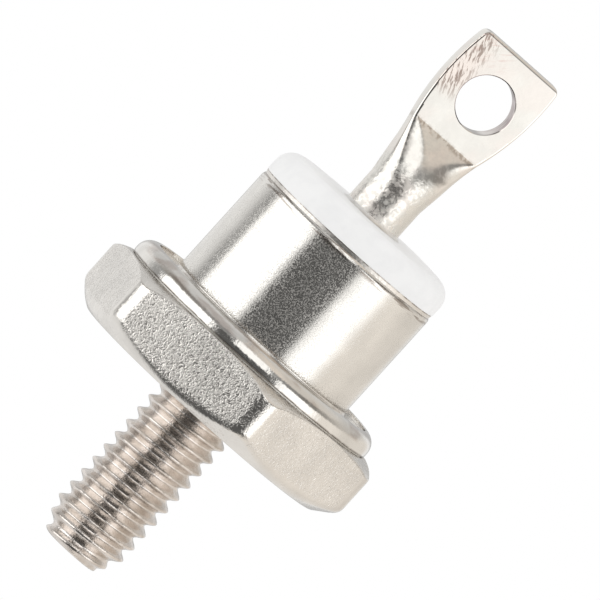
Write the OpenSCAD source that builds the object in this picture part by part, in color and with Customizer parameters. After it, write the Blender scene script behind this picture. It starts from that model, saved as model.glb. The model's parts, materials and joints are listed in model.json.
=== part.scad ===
// Stud mount rectifier diode, sealed can with a flattened tube terminal.
// +Z runs along the stud's axis towards the terminal. The origin is the centre of the hexagon's seat.

/* [Stud] */
// Major diameter of the thread, drawn as a plain cylinder
stud_d = 5.7; // [4.8:0.05:8]
// Length from the seat to the end of the stud
stud_len = 11.55; // [6:0.05:25]
// Diameter of the flat at the stud's end
stud_tip_d = 4.1; // [2:0.05:4.6]
// Length of the lead-in taper at the stud's end
stud_tip_len = 1.35; // [0.5:0.05:2.5]

/* [Hexagon] */
// Width across the flats
hex_af = 19; // [17:0.1:24]
// Height of the hexagon
hex_h = 4.35; // [3.5:0.05:8]
// Radius of the upright corners
hex_corner_r = 1.2; // [0.3:0.1:2]
// Width of the chamfer under the hexagon, at the middle of a flat
seat_chamfer = 0.45; // [0.2:0.05:1]
// Angle of the chamfer under the hexagon
seat_angle = 33; // [15:1:35]
// Width of the chamfer on top of the hexagon, at the middle of a flat
crown_chamfer = 0.15; // [0.05:0.05:0.6]
// Angle of the chamfer on top of the hexagon
crown_angle = 30; // [15:1:35]
// Radius of the swelling on that chamfer
crown_swell_r = 3; // [1.8:0.1:12]
// Diameter of the pedestal that carries the chip
pedestal_d = 11; // [9.8:0.1:11.6]
// Height of the pedestal above the hexagon
pedestal_h = 1.7; // [1:0.1:2.6]

/* [Weld ring] */
// Distance of the ring's edge inside the hexagon's flats
ring_inset = 0.2; // [0:0.05:0.5]
// Height of the ring, with its lip
ring_h = 1.25; // [1.2:0.05:2]
// Radius of the ring's upper outer edge
ring_round = 0.95; // [0.3:0.05:0.95]
// Radius of the ring's lower outer edge
ring_foot_round = 0.2; // [0.05:0.05:0.25]
// Width of the lip round the can's flange
lip_w = 1; // [0.5:0.05:1.2]
// Height of the lip above the can's flange
lip_rise = 0.3; // [0.1:0.05:0.5]

/* [Can] */
// Outer diameter of the can
shell_d = 13.3; // [12.8:0.1:14.5]
// Wall of the can
shell_wall = 0.5; // [0.3:0.05:0.7]
// Height of the can with its flange
shell_h = 8.45; // [7:0.05:12]
// Thickness of the flange at the can's foot
flange_t = 0.5; // [0.3:0.05:0.7]
// Radius between the flange and the can's wall
foot_fillet = 0.3; // [0.1:0.05:0.6]
// Radius of the can's upper outer edge
shell_round = 0.45; // [0.1:0.05:0.45]
// Diameter of the opening in the can's top
mouth_d = 8; // [6:0.1:10]

/* [Insulator] */
// Distance that the ceramic stands out over the can's wall
ceramic_over = 0.02; // [0:0.01:0.3]
// Height of the ceramic
ceramic_h = 1.9; // [1.4:0.1:4]
// Radius of the ceramic's shoulder
ceramic_round = 1.2; // [0.2:0.05:1.3]

/* [Terminal] */
// Outer diameter of the tube
tube_d = 3.9; // [3.4:0.05:5]
// Wall of the tube
tube_wall = 0.65; // [0.4:0.05:0.9]
// Length of tube that reaches into the can, below the ceramic
tube_drop = 1; // [0.4:0.1:2]
// Length of tube that stays round above the ceramic
round_len = 2.15; // [1.5:0.05:8]
// Length over which the tube starts to widen
flare_len = 1.6; // [0.5:0.1:4]
// Amount that the tube has widened and thinned where its neck starts
flare = 0.45; // [0.1:0.05:1]
// Length of the neck from there to the crease
neck_len = 2.7; // [1.5:0.1:5]
// Length of the flat lug above the crease
lug_len = 6.7; // [5.6:0.1:12]
// Greatest width of the lug
lug_w = 6.25; // [5.6:0.05:8]
// Thickness of the lug
lug_t = 1.2; // [0.8:0.1:1.8]
// Radius of the lug's folded long edges
lug_edge_r = 0.15; // [0.05:0.05:0.35]
// Radius of the lug's barrel-shaped sides
lug_side_r = 16; // [10:0.5:60]
// Height of the lug's widest place above the crease
lug_belly = 4.15; // [2:0.05:5]
// Radius of the corners at the lug's end
lug_corner_r = 0.5; // [0.2:0.05:1.2]
// Lean of the lug to one side, left by the press
lug_lean = 2.8; // [0:0.1:4]
// Diameter of the hole in the lug
hole_d = 3.65; // [2:0.05:4.4]
// Height of the hole's centre above the crease
hole_up = 3.15; // [2.4:0.05:4]
// Distance of the hole's centre from the lug's middle line
hole_side = 0.2; // [0:0.05:0.4]
// Width of the braze fillet round the tube's foot
seal_w = 0.25; // [0.1:0.05:0.8]
// Height of the braze fillet
seal_h = 0.2; // [0.1:0.05:0.8]

/* [Chip stack] */
// Diameter of the disc under the chip
base_disc_d = 9.6; // [9:0.1:9.8]
// Thickness of the disc under the chip
base_disc_t = 1; // [0.4:0.1:1.6]
// Diameter of the chip
die_d = 8.4; // [7.4:0.1:8.6]
// Thickness of the chip
die_t = 0.4; // [0.2:0.05:0.6]
// Width of the bevel round the chip's edge
die_bevel = 0.5; // [0.1:0.05:0.6]
// Width of the coating ring round the chip
coating_w = 0.4; // [0.2:0.05:0.5]
// Height of the coating ring above the chip
coating_rise = 0.2; // [0.05:0.05:0.5]
// Diameter of the disc on the chip
top_disc_d = 6.6; // [5:0.1:7]
// Thickness of the disc on the chip
top_disc_t = 0.6; // [0.3:0.1:1.2]
// Diameter of the lead's head
lead_head_d = 5.8; // [3.5:0.1:6.5]
// Thickness of the lead's head
lead_head_t = 0.8; // [0.4:0.1:1.4]
// Thickness of each solder wafer and of the chip's bond
solder_t = 0.1; // [0.05:0.01:0.15]
// Thickness of each braze washer
braze_t = 0.1; // [0.05:0.01:0.15]

/* [Clearances] */
// Gap between the pedestal and the ring
pedestal_gap = 0.1; // [0.02:0.01:0.2]
// Gap between the can's flange and the ring's lip
flange_gap = 0.1; // [0.02:0.01:0.2]
// Gap between the tube and the ceramic, and between the tube and its seal
tube_gap = 0.03; // [0.01:0.01:0.1]
// Gap between the lead and the tube's bore
lead_gap = 0.1; // [0.03:0.01:0.25]
// Gap between the chip and its coating
coating_gap = 0.02; // [0.01:0.01:0.1]

/* [Hidden] */
$fn = 96;
overlap = 0.2;
sliver = 0.02;
corner_steps = 8;
edge_steps = 9;
side_steps = 10;
end_steps = 6;

nickel = "#d8d2c8";
bright_nickel = "#e4dfd6";
ceramic_white = "#f4f4f2";
braze_silver = "#c9c4b8";
solder_grey = "#a9abad";
molybdenum_grey = "#8d9094";
silicon_blue = "#4a5560";
coating_clear = "#d9cfc0";
bare_copper = "#c07a4f";

// Levels along the axis, from the seat up.
ring_z = hex_h + braze_t;
flange_z = ring_z + ring_h - lip_rise - flange_t;
shell_top_z = flange_z + shell_h;
ceramic_z = shell_top_z + braze_t;
ceramic_top_z = ceramic_z + ceramic_h;
flare_z = ceramic_top_z + round_len;
neck_z = flare_z + flare_len;
crease_z = neck_z + neck_len;
pedestal_z = hex_h + pedestal_h;
base_disc_z = pedestal_z + solder_t;
bond_z = base_disc_z + base_disc_t;
die_z = bond_z + solder_t;
die_solder_z = die_z + die_t;
top_disc_z = die_solder_z + solder_t;
lead_solder_z = top_disc_z + top_disc_t;
lead_z = lead_solder_z + solder_t;

// Radii that follow from the fits.
hex_corner_at = (hex_af / 2 - hex_corner_r) / cos(30);
hex_reach = hex_af / sqrt(3);
seat_r = hex_af / 2 - seat_chamfer;
crown_r = hex_af / 2 - crown_chamfer;
ring_r = hex_af / 2 - ring_inset;
ring_foot_r = min(crown_r, ring_r - ring_foot_round);
ring_bore_r = pedestal_d / 2 + pedestal_gap;
lip_r = ring_r - lip_w;
ring_edge_r = min(ring_round, lip_w - sliver);
flange_r = lip_r - flange_gap;
shell_r = shell_d / 2;
ceramic_r = shell_r + ceramic_over;
tube_bore_r = tube_d / 2 - tube_wall;
tube_hole_r = tube_d / 2 + tube_gap;
lead_r = tube_bore_r - lead_gap;
die_top_r = die_d / 2 - die_bevel;
coating_bore_r = die_d / 2 + coating_gap;

// The lug's half width, by the height above the crease: a barrel-shaped side that ends in a rounded corner.
// The corner is a circle that touches the lug's end and its side from inside.
side_x = lug_w / 2 - lug_side_r;
corner_h = lug_len - lug_corner_r;
corner_x = side_x + sqrt(pow(lug_side_r - lug_corner_r, 2) - pow(corner_h - lug_belly, 2));
touch_h = lug_belly + (corner_h - lug_belly) * lug_side_r / (lug_side_r - lug_corner_r);
function lug_half_width(h) = h < touch_h
    ? side_x + sqrt(pow(lug_side_r, 2) - pow(h - lug_belly, 2))
    : corner_x + sqrt(max(0, pow(lug_corner_r, 2) - pow(h - corner_h, 2)));
function lug_shift(h) = h * tan(lug_lean);

// Heights of the lug's sections above the crease, closer together round the corners.
lug_heights = concat([for (i = [0:side_steps - 1]) touch_h * i / side_steps],
    [for (i = [0:end_steps]) touch_h + (lug_len - touch_h) * sin(90 * i / end_steps)]);

// One section of the terminal: a rectangle with rounded corners, centred on x.
function rounded_section(half_w, half_t, r, x, z) = [
    for (q = [0:3], i = [0:edge_steps])
        let (a = 90 * (q + i / edge_steps))
        let (right = q == 0 || q == 3 ? 1 : -1, back = q < 2 ? 1 : -1)
        [x + right * (half_w - r) + r * cos(a), back * (half_t - r) + r * sin(a), z]
];

// The chamfer on top of the hexagon swells between its two edges, on a circle through both.
crown_top = [crown_r, hex_h];
crown_low = [hex_reach, hex_h - (hex_reach - crown_r) * tan(crown_angle)];
crown_chord = norm(crown_low - crown_top);
crown_arc_r = max(crown_swell_r, crown_chord);
crown_sink = sqrt(pow(crown_arc_r, 2) - pow(crown_chord / 2, 2));
crown_centre = (crown_top + crown_low) / 2 - crown_sink * [sin(crown_angle), cos(crown_angle)];

// Flat ring or disc, standing on z.
module washer(outer_r, inner_r, z, h) {
    translate([0, 0, z])
        difference() {
            cylinder(r = outer_r, h = h);
            if (inner_r > 0)
                translate([0, 0, -overlap])
                    cylinder(r = inner_r, h = h + 2 * overlap);
        }
}

// What is left of a square corner outside a quarter circle of radius r, with the corner at the origin.
module corner_offcut(r) {
    difference() {
        translate([-r, -r])
            square(r + overlap);
        translate([-r, -r])
            circle(r);
    }
}

// Hexagon with rounded corners; one corner points along +Y.
module rounded_hexagon() {
    polygon([for (i = [0:5], j = [0:corner_steps])
        let (corner = 90 + 60 * i, a = corner - 30 + 60 * j / corner_steps)
        hex_corner_at * [cos(corner), sin(corner)] + hex_corner_r * [cos(a), sin(a)]]);
}

// Turned envelope that chamfers the hexagon above and below.
module hexagon_envelope() {
    rotate_extrude() {
        polygon([[0, 0], [seat_r, 0], [hex_reach, (hex_reach - seat_r) * tan(seat_angle)],
            crown_low, crown_top, [0, hex_h]]);
        intersection() {
            translate(crown_centre)
                circle(crown_arc_r);
            polygon([crown_low, [hex_reach, hex_h], crown_top]);
        }
    }
}

// Forged base: chamfered hexagon, stud below it and pedestal on top.
module stud_base() {
    color(nickel) {
        intersection() {
            linear_extrude(hex_h)
                rounded_hexagon();
            hexagon_envelope();
        }
        translate([0, 0, stud_tip_len - stud_len])
            cylinder(d = stud_d, h = stud_len - stud_tip_len + overlap);
        translate([0, 0, -stud_len])
            cylinder(d1 = stud_tip_d, d2 = stud_d, h = stud_tip_len);
        translate([0, 0, hex_h - overlap])
            cylinder(d = pedestal_d, h = pedestal_h + overlap);
    }
}

// Ring with rounded outer edges and a lip round the can's flange.
module weld_ring() {
    color(bright_nickel)
        translate([0, 0, ring_z])
            rotate_extrude()
                difference() {
                    translate([ring_bore_r, 0])
                        square([ring_r - ring_bore_r, ring_h]);
                    translate([0, flange_z - ring_z])
                        square([lip_r, ring_h]);
                    translate([ring_r, ring_h])
                        corner_offcut(ring_edge_r);
                    translate([ring_r, 0])
                        mirror([0, 1])
                            corner_offcut(ring_foot_round);
                }
}

// Braze between the hexagon and the ring.
module ring_braze() {
    color(braze_silver)
        washer(ring_foot_r, ring_bore_r, hex_h, braze_t);
}

// Drawn can: flange, filleted foot, wall and a top that is turned in under the ceramic.
module shell() {
    inner_r = shell_r - shell_wall;
    color(bright_nickel)
        translate([0, 0, flange_z])
            rotate_extrude()
                difference() {
                    union() {
                        translate([inner_r, 0])
                            square([flange_r - inner_r, flange_t]);
                        translate([mouth_d / 2, 0])
                            square([shell_r - mouth_d / 2, shell_h]);
                        translate([shell_r - overlap, flange_t - overlap])
                            square(foot_fillet + overlap);
                    }
                    translate([0, -overlap])
                        square([inner_r, shell_h - shell_wall + overlap]);
                    translate([shell_r + foot_fillet, flange_t + foot_fillet])
                        circle(foot_fillet);
                    translate([shell_r, shell_h])
                        corner_offcut(shell_round);
                }
}

// Braze between the can and the ceramic.
module insulator_braze() {
    color(braze_silver)
        washer(shell_r - shell_round, mouth_d / 2, shell_top_z, braze_t);
}

// Ceramic disc with a rounded shoulder, bored for the tube.
module insulator() {
    color(ceramic_white)
        translate([0, 0, ceramic_z])
            rotate_extrude()
                difference() {
                    translate([tube_hole_r, 0])
                        square([ceramic_r - tube_hole_r, ceramic_h]);
                    translate([ceramic_r, ceramic_h])
                        corner_offcut(ceramic_round);
                }
}

// Skin through a list of sections that all have the same number of points.
module loft(sections) {
    count = len(sections[0]);
    last = count * (len(sections) - 1);
    sides = [for (s = [0:len(sections) - 2], i = [0:count - 1])
        let (a = s * count + i, b = s * count + (i + 1) % count)
        each [[a, a + count, b], [b, a + count, b + count]]];
    caps = [[for (i = [0:count - 1]) i], [for (i = [count - 1:-1:0]) last + i]];
    polyhedron([for (s = sections) each s], concat(sides, caps));
}

// Neck and lug: from the round tube by way of the flare to the crease, then up the flat sides to the end.
module neck_and_lug() {
    tube_r = tube_d / 2;
    flare_w = (tube_d + flare) / 2;
    flare_t = (tube_d - flare) / 2;
    loft(concat(
        [rounded_section(tube_r, tube_r, tube_r - sliver, 0, flare_z)],
        [rounded_section(flare_w, flare_t, flare_t - sliver, 0, neck_z)],
        [for (h = lug_heights)
            rounded_section(lug_half_width(h), lug_t / 2, lug_edge_r, lug_shift(h), crease_z + h)]));
}

// Tube terminal: round below, flattened above the crease, with a neck between and a round hole.
module terminal_lug() {
    bore_len = tube_drop + ceramic_h + round_len;
    color(nickel)
        difference() {
            union() {
                translate([0, 0, ceramic_z - tube_drop])
                    cylinder(d = tube_d, h = bore_len);
                neck_and_lug();
            }
            translate([0, 0, ceramic_z - tube_drop - overlap])
                cylinder(r = tube_bore_r, h = bore_len);
            translate([hole_side + lug_shift(hole_up), lug_t, crease_z + hole_up])
                rotate([90, 0, 0])
                    cylinder(d = hole_d, h = 2 * lug_t);
        }
}

// Braze fillet that seals the tube in the ceramic.
module terminal_seal() {
    color(braze_silver)
        translate([0, 0, ceramic_top_z])
            difference() {
                cylinder(r1 = tube_hole_r + seal_w, r2 = tube_hole_r + sliver, h = seal_h);
                translate([0, 0, -overlap])
                    cylinder(r = tube_hole_r, h = seal_h + 2 * overlap);
            }
}

// Solder wafer on the pedestal.
module base_solder() {
    color(solder_grey)
        washer(base_disc_d / 2, 0, pedestal_z, solder_t);
}

// Disc under the chip.
module base_disc() {
    color(molybdenum_grey)
        washer(base_disc_d / 2, 0, base_disc_z, base_disc_t);
}

// Bond under the chip.
module die_bond() {
    color(solder_grey)
        washer(die_d / 2, 0, bond_z, solder_t);
}

// Rectifier chip with a bevelled edge.
module silicon_die() {
    color(silicon_blue)
        translate([0, 0, die_z])
            cylinder(r1 = die_d / 2, r2 = die_top_r, h = die_t);
}

// Silicone ring round the chip's edge.
module junction_coating() {
    color(coating_clear)
        washer(coating_bore_r + coating_w, coating_bore_r, bond_z, solder_t + die_t + coating_rise);
}

// Solder wafer on the chip.
module die_solder() {
    color(solder_grey)
        washer(top_disc_d / 2, 0, die_solder_z, solder_t);
}

// Disc on the chip.
module top_disc() {
    color(molybdenum_grey)
        washer(top_disc_d / 2, 0, top_disc_z, top_disc_t);
}

// Solder wafer under the lead's head.
module lead_solder() {
    color(solder_grey)
        washer(lead_head_d / 2, 0, lead_solder_z, solder_t);
}

// Nail-head lead that runs up the round part of the tube.
module contact_lead() {
    color(bare_copper)
        translate([0, 0, lead_z]) {
            cylinder(d = lead_head_d, h = lead_head_t);
            cylinder(r = lead_r, h = flare_z - overlap - lead_z);
        }
}

stud_base();
weld_ring();
shell();
insulator();
terminal_lug();
terminal_seal();
ring_braze();
insulator_braze();
base_solder();
base_disc();
die_bond();
silicon_die();
junction_coating();
die_solder();
top_disc();
lead_solder();
contact_lead();
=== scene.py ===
"""Looks of a stud mount diode, built round its solids: a nickel plated hexagon with a threaded stud, a ring,
a can, a white ceramic and a tube terminal that is pressed flat. Lengths are in metres, in the solids' own
frame."""
import json
import math

import bmesh
import bpy
from mathutils import Matrix, Vector, noise


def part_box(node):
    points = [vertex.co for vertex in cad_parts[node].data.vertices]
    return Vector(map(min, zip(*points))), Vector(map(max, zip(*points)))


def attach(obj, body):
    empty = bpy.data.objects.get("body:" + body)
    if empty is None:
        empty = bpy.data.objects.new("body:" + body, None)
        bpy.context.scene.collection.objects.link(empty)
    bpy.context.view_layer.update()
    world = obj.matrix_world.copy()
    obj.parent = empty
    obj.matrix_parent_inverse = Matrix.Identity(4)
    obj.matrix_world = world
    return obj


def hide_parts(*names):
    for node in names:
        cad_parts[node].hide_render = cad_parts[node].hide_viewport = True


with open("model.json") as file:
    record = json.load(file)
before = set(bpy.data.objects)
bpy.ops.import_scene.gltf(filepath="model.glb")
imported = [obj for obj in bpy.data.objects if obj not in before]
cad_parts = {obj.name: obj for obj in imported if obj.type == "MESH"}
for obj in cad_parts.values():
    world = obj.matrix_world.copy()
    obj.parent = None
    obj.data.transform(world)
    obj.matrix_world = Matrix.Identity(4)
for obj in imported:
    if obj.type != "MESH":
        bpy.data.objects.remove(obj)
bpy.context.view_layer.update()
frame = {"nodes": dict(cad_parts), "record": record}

MM = 0.001
mounts = {m["name"]: m for m in frame["record"]["mounts"]}
base_low, base_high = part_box("stud_base")
ring_low, ring_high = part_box("weld_ring")
shell_low, shell_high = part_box("shell")
ceramic_low, ceramic_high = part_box("insulator")
terminal_low, terminal_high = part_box("terminal_lug")
seal_low, seal_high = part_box("terminal_seal")
braze_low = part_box("ring_braze")[0]

# Hexagon: half width across the flats, height, corners and chamfers.
HEX_FLAT = base_high.x
HEX_TOP = braze_low.z
HEX_CORNER_R = 1.35 * MM
HEX_EDGE_R = 0.2 * MM
HEX_EDGE_STEPS = 6
HEX_LOW_EDGE_R = 0.85 * MM
HEX_UNEVEN = 0.012 * MM
HEX_UNEVEN_SIZE = 1.3 * MM
FLAT_CROWN = 0.025
SEAT_R = HEX_FLAT - 0.45 * MM
SEAT_INNER_R = 0.6 * SEAT_R
SEAT_ANGLE = math.radians(33)
CROWN_R = HEX_FLAT - 0.15 * MM
CROWN_ANGLE = math.radians(30)
CROWN_SWELL_R = 3.0 * MM
CROWN_STEPS = 4
PEDESTAL_R = 5.5 * MM
PEDESTAL_TOP = base_high.z
CORNER_STEPS = 12
FLAT_STEPS = 28
SIDE_ROWS = 6

# Stud and its thread. The groove leaves the stud's end at the start angle, and is shallower on the taper.
STUD_R = mounts["stud"]["dims"]["r_mm"] * MM
STUD_TIP = base_low.z
STUD_TIP_R = 2.05 * MM
STUD_TIP_LEN = 1.7 * MM
STUD_TIP_EDGE_R = 0.3 * MM
THREAD_PITCH = 1.0 * MM
THREAD_DEPTH = 0.56 * MM
THREAD_CREST_BLEND = 0.3 * MM
THREAD_ROOT_BLEND = 0.3 * MM
THREAD_STEPS = 16
THREAD_UNEVEN = 0.012 * MM
THREAD_UNEVEN_SIZE = 0.4 * MM
THREAD_START = math.radians(-57)
TIP_GROOVE_SHARE = 0.8
TIP_GROOVE_FADE = 0.35 * MM

# Ring, can, ceramic and seal.
RING_R = ring_high.x
RING_BORE_R = 5.6 * MM
RING_EDGE_R = 0.95 * MM
RING_FOOT_R = 0.08 * MM
RING_UNEVEN = 0.05 * MM
RING_UNEVEN_SIZE = 2.6 * MM
LIP_R = RING_R - 1.0 * MM
LIP_EDGE_R = 0.04 * MM
FLANGE_R = shell_high.x
FLANGE_TOP = shell_low.z + 0.5 * MM
FLANGE_EDGE_R = 0.1 * MM
CAN_R = ceramic_high.x - 0.02 * MM
CAN_WALL = 0.5 * MM
CAN_EDGE_R = 0.45 * MM
CAN_FOOT_R = 0.3 * MM
CAN_MOUTH_R = 4.0 * MM
CERAMIC_R = ceramic_high.x
CERAMIC_EDGE_R = 1.2 * MM
CERAMIC_FOOT_R = 0.06 * MM
CERAMIC_UNEVEN = 0.08 * MM
CERAMIC_UNEVEN_SIZE = 2.4 * MM
BEAD_ANGLE = 50
BEAD_STEPS = 5
BEAD_SWELL = 0.05 * MM
SEAL_HOLLOW_OUT = 0.35
SEAL_HOLLOW_UP = 0.3
SEAL_HOLLOW_R = 0.5 * MM
SEAL_UNEVEN = 0.07 * MM
SEAL_UNEVEN_SIZE = 0.4 * MM
LATHE_COLUMNS = 192

# Terminal: round tube, neck and flat lug.
TUBE_R = terminal_high.y
TUBE_BORE_R = TUBE_R - 0.65 * MM
TUBE_HOLE_R = TUBE_R + 0.03 * MM
hole_at = Vector(mounts["lug_hole"]["pos_m"])
HOLE_R = mounts["lug_hole"]["dims"]["r_mm"] * MM
HOLE_EDGE_R = 0.06 * MM
HOLE_EDGE_STEPS = 4
HOLE_COLUMNS = 96
CREASE_Z = hole_at.z - 3.15 * MM
NECK_LEN = 4.3 * MM
NECK_Z = CREASE_Z - NECK_LEN
NECK_LAST_SHARE = 0.012
NECK_BLEND = 0.6 * MM
NECK_TURN = math.radians(25)
NECK_WIDTH_POWER = 1.6
NECK_EDGE_POWER = 1.3
LEAST_SHOULDER = 0.01 * MM
BORE_END_Z = NECK_Z - 0.2 * MM
FACET_SLOPE = math.tan(math.radians(26))
FACET_HALF_W = 2.3 * MM
FACET_LEN = 1.9 * MM
FACET_POWER = 1.5
LUG_END = terminal_high.z
LUG_LEN = LUG_END - CREASE_Z
LUG_HALF_W = 3.125 * MM
LUG_HALF_T = mounts["lug_hole"]["dims"]["length_mm"] * MM / 2
LUG_EDGE_R = 0.2 * MM
LUG_RIM_R = 0.09 * MM
LUG_RIM_H = 3.4 * MM
LUG_TOP_R = 0.22 * MM
LUG_SIDE_R = 16 * MM
LUG_BELLY = 4.15 * MM
LUG_CORNER_R = 0.5 * MM
LUG_LEAN = math.tan(math.radians(2.8))
SEAM_HALF_W = 0.03 * MM
SEAM_DEPTH = 0.3 * MM
ACROSS_STEPS = 56
NECK_STEPS = 40
LUG_STEPS = 16
LUG_END_STEPS = 8

# Meshes: the angle in degrees from which an edge is sharp, how squarely a face has to look to be shaded flat,
# the distance within which points are joined, and the share of a side that an arc may take.
SHARP_ANGLE = 50
TERMINAL_SHARP_ANGLE = 35
BIT_SHARP_ANGLE = 30
SEAT_FACING = 0.999
LUG_FACING = 0.9999
JOIN_DISTANCE = 1e-7
LONGEST_ARC = 0.98

# Tints of the plate and the ceramic.
NICKEL = (0.74, 0.722, 0.69)
FORGED_NICKEL = (0.74, 0.715, 0.68)
TERMINAL_NICKEL = (0.765, 0.747, 0.705)
BEAD_BRAZE = (0.8, 0.77, 0.73)
SEAL_BRAZE = (0.86, 0.85, 0.83)
THIN_PLATE_DARK = (0.61, 0.56, 0.515)
THIN_PLATE_PALE = (0.78, 0.73, 0.69)
CERAMIC_DARK = (0.905, 0.905, 0.905)
CERAMIC_PALE = (0.94, 0.94, 0.938)

# Stains and scratches on the plate, and painted shade and painted reflections: how much of it they hide, and
# their colour.
BRIGHT_SCRATCH = (0.4, (0.95, 0.93, 0.9))
LUG_BLUSH = (0.5, (0.79, 0.725, 0.68))
WORN_PLATE = (0.3, (0.8, 0.66, 0.59))
CROSS_SCRATCH = (0.55, (0.62, 0.44, 0.4))
DARK_SCRATCH = (0.85, (0.26, 0.195, 0.165))
# Painted shade along the crease under the lug.
CREASE_SHADE = (0.6, (0.34, 0.29, 0.24))
# Painted shade on the wall of the lug's hole.
HOLE_SHADE = (0.92, (0.25, 0.185, 0.195))
RING_SMEAR = (0.6, (0.46, 0.39, 0.35))
# Painted shade in a dark line along the ring's foot, where it meets the hexagon.
RING_FOOT_SHADE = (0.8, (0.25, 0.22, 0.2))
# Painted shade in the corner at the can's foot.
CAN_CORNER_SHADE = (0.6, (0.3, 0.25, 0.22))
# Painted dark reflections in strokes on the can's shoulder.
CAN_SHOULDER_REFLECTION = (0.75, (0.25, 0.21, 0.18))
# Painted shade in a thin line where the bead meets the ceramic.
BEAD_EDGE_SHADE = (1.0, (0.26, 0.22, 0.19))

# Patches of noise: their size, the two levels of the noise between which they fade in, and, where that isn't
# from 0 to 1, from how much to how much.
CLOUDS = (2.2 * MM, 0.35, 0.65)
THIN_BLOTCHES = (0.9 * MM, 0.3, 0.7)
SCRATCH_GROUPS = (2 * MM, 0.52, 0.6)
LUG_BLUSHES = (1.7 * MM, 0.4, 0.62)
LUG_STROKES = (0.42 * MM, 0.5, 0.6)
CROSS_STROKES = (0.5 * MM, 0.52, 0.66)
CREASE_SPECKS = (0.2 * MM, 0.4, 0.6)
WALL_STREAKS = (0.4 * MM, 0.35, 0.65, 0.6, 1.0)
RING_SPECKS = (0.7 * MM, 0.25, 0.55)
RING_SMEARS = (1.1 * MM, 0.45, 0.65)
CAN_SHOULDER_REFLECTIONS = (0.5 * MM, 0.47, 0.56)
CAN_SPECKS = (0.8 * MM, 0.3, 0.6)
BEAD_SPECKS = (0.5 * MM, 0.3, 0.6)
CERAMIC_MOTTLES = (1.1 * MM, 0.35, 0.65)
INNER_CLOUDS = (0.6 * MM, 0.35, 0.65)

# How patches are drawn out along X, Y and Z, and how far they lean.
LUG_STROKE_STRETCH = (0.3, 1, 1.7)
LUG_STROKE_LEAN = math.radians(-24)
CROSS_STRETCH = (0.35, 1, 2.2)
CROSS_LEAN = math.radians(50)
CREASE_STRETCH = (1, 1, 2)
WALL_STRETCH = (2, 0.5, 2)
RING_SMEAR_STRETCH = (2, 2, 0.6)
CAN_SHOULDER_REFLECTION_STRETCH = (3.5, 3.5, 0.3)

# Where marks lie: they fade in from the first place to the second, and from how much to how much as above.
# The polish is by the angle in degrees from the middle of a flat.
POLISH_ANGLE = (25.2, 26.6)
POLISH_Z = (0.95 * MM, 0.65 * MM)
THIN_PLATE_Z = (0, -0.4 * MM)
FRONT_Y = (0.1 * MM - LUG_HALF_T, 0.02 * MM - LUG_HALF_T)
WORN_X = (-0.9 * MM, -2.2 * MM)
WORN_Z = (hole_at.z - 1.6 * MM, hole_at.z - 0.4 * MM)
CROSS_X = (0.3 * MM, -1.2 * MM)
CROSS_Z = (hole_at.z + 1.6 * MM, hole_at.z + 2.4 * MM)
CREASE_SHADE_Z = CREASE_Z - 0.12 * MM
CREASE_SHADE_REACH = (0.3 * MM, 0.02 * MM)
WALL_R = (HOLE_R + 0.06 * MM, HOLE_R + 0.01 * MM)
WALL_Z = (hole_at.z - 1.5 * MM, hole_at.z + 0.3 * MM, 0.45, 1.0)
LUG_Z = (CREASE_Z - 0.1 * MM, CREASE_Z)
ABOVE_TUBE_Z = (CREASE_Z - 3.4 * MM, CREASE_Z - 2.2 * MM)
RING_FOOT_Z = (ring_low.z + 0.14 * MM, ring_low.z + 0.04 * MM)
RING_SMEAR_Z = (ring_low.z + 0.5 * MM, ring_low.z + 0.7 * MM)
SHOULDER_Z = (shell_high.z - 0.75 * MM, shell_high.z - 0.45 * MM)
CAN_CORNER_R = (CAN_R + 0.7 * MM, CAN_R + 0.2 * MM)
CAN_CORNER_Z = (FLANGE_TOP + 0.4 * MM, FLANGE_TOP + 0.08 * MM)
BEAD_EDGE_SHADE_Z = (ceramic_low.z - 0.1 * MM, ceramic_low.z - 0.03 * MM)

# Plate: tones of its clouds, levels of the noise that make its grain, the noise's usual rise over its size,
# how much of the grain the polish takes away, how much duller the thread is, and the fine scratches.
CLOUD_TONES = (0.95, 1.04)
GRAIN_LEVELS = (0.4, 0.65)
GRAIN_RISE = 0.6
POLISH_SHARE = 0.5
THREAD_DULLER = 0.05
SCRATCH_WANDER = 1.6 * MM
SCRATCH_CURL = 1.5
SCRATCH_LINE = (0.012, 0.003)

# Terminal: shares of the grain that the lug and the neck lose, and how much rougher or smoother they are.
LUG_CALM = 0.8
LUG_LEAST_ROUGH = 0.06
NECK_CALM = 0.85
TUBE_DULLER = 1.35
NECK_SMOOTHER = 0.75

# Ceramic and sealed pieces.
CERAMIC_ROUGH = 0.55
CERAMIC_GRAIN = 0.35 * MM
CERAMIC_GRAIN_H = 0.01 * MM
INNER_TONE = 0.85
INNER_DULLER = 1.3

# The photograph's view: 600 pixels square, seen from a little to the left and above, with the stud's axis
# leaning.
PHOTO_SIDE = 600
PIXELS_PER_M = 16720
VIEW_AZIMUTH = math.radians(-16.2)
VIEW_ELEVATION = math.radians(3.1)
VIEW_LEAN = math.radians(42.2)
VIEW_DISTANCE = 1.2
VIEW_HEIGHT = 8.84 * MM
VIEW_SIDE = 0.116 * MM
FLOOR_HALF_SIDE = 6.0

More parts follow.
